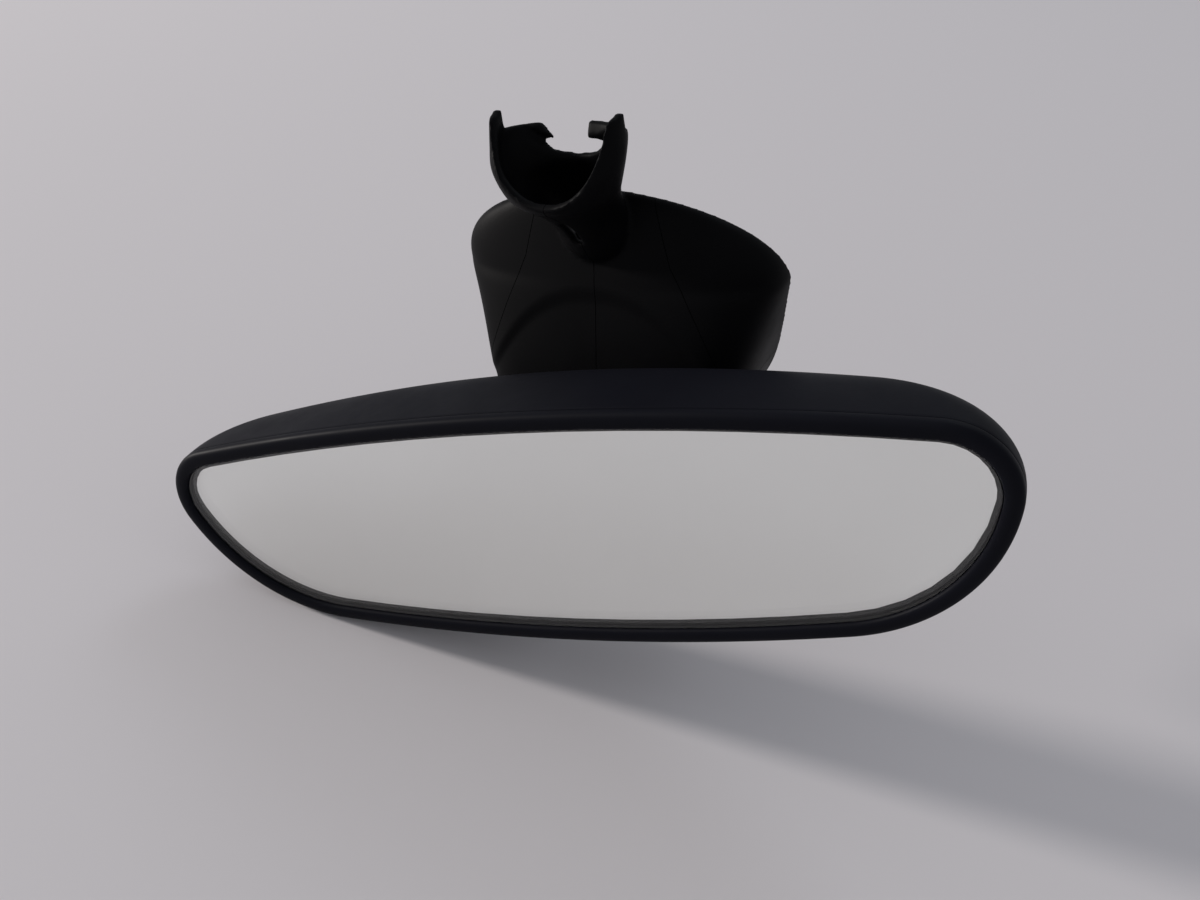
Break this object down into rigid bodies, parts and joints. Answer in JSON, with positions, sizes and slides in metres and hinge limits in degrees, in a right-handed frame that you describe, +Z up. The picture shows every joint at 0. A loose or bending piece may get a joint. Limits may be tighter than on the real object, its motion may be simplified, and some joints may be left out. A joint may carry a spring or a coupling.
{
  "type": "interior rearview mirror",
  "caption": "Self-dimming interior rearview mirror with a black framed head on a friction ball joint, a windscreen foot and a split sensor cover.",
  "frame": {"origin": "centre of the foot's flat face, where it is bonded to the windscreen", "axes": "+Z up in the car, glass facing -Y (towards the driver), +X to the viewer's right when looking at the glass"},
  "size_m": [0.2389, 0.1089, 0.1417],
  "materials": {
    "cover_plastic": "fine-grained matt black ABS",
    "head_plastic": "fine-grained matt black ABS",
    "front_glass": "clear, green at the cut edge",
    "mirror_glass": "silvered on its front face",
    "seal": "matt",
    "foam": "closed-cell foam tape",
    "carrier_plastic": "moulded, lightly brushed",
    "board": "green solder mask",
    "connector": "natural nylon",
    "chip": "moulded epoxy",
    "sensor": "clear-topped package",
    "lens": "smoked, polished",
    "screw_steel": "zinc plated",
    "spring_steel": "bare spring steel",
    "ball_steel": "ground and plated",
    "liner": "natural acetal",
    "pad": "filled nylon",
    "zinc": "die cast, satin",
    "ring": "filled nylon",
    "arm": "black powder coat",
    "bracket": "filled nylon"
  },
  "bodies": {
    "base": {"windscreen_foot": "zinc", "retaining_spring": "spring_steel", "mirror_arm": "arm", "arm_screw_1": "screw_steel", "arm_screw_2": "screw_steel", "cover_bracket": "bracket", "cover_clip_left": "spring_steel", "cover_clip_right": "spring_steel", "ball_stud": "ball_steel", "cover_wing_left": "cover_plastic", "cover_wing_right": "cover_plastic", "front_cover_left": "cover_plastic", "front_cover_right": "cover_plastic"},
    "joint_liner": {"friction_liner": "liner"},
    "joint_pad": {"pressure_pad": "pad", "wave_spring": "spring_steel"},
    "mirror_head": {"socket_cup": "zinc", "retainer_ring": "ring", "socket_screw_1": "screw_steel", "socket_screw_2": "screw_steel", "socket_screw_3": "screw_steel", "socket_screw_4": "screw_steel", "front_bezel": "head_plastic", "rear_housing": "head_plastic", "front_glass": "front_glass", "edge_seal": "seal", "mirror_glass": "mirror_glass", "bonding_pad": "foam", "glass_carrier": "carrier_plastic", "circuit_board": "board", "board_connector": "connector", "control_chip": "chip", "glare_sensor": "sensor", "ambient_sensor": "sensor", "sensor_window": "lens", "carrier_screw_1": "screw_steel", "carrier_screw_2": "screw_steel", "carrier_screw_3": "screw_steel", "carrier_screw_4": "screw_steel"}
  },
  "joints": [
    {"name": "head_yaw", "type": "hinge", "parent": "base", "child": "joint_liner", "pos_m": [0, -0.05, -0.035], "axis": [0, 0, 1], "range_deg": [-24, 8]},
    {"name": "head_pitch", "type": "hinge", "parent": "joint_liner", "child": "joint_pad", "pos_m": [0, -0.05, -0.035], "axis": [0.9903, 0.1392, 0], "range_deg": [-2, 14]},
    {"name": "head_roll", "type": "hinge", "parent": "joint_pad", "child": "mirror_head", "pos_m": [0, -0.05, -0.035], "axis": [-0.1392, 0.9903, 0], "range_deg": [-4, 16]}
  ]
}
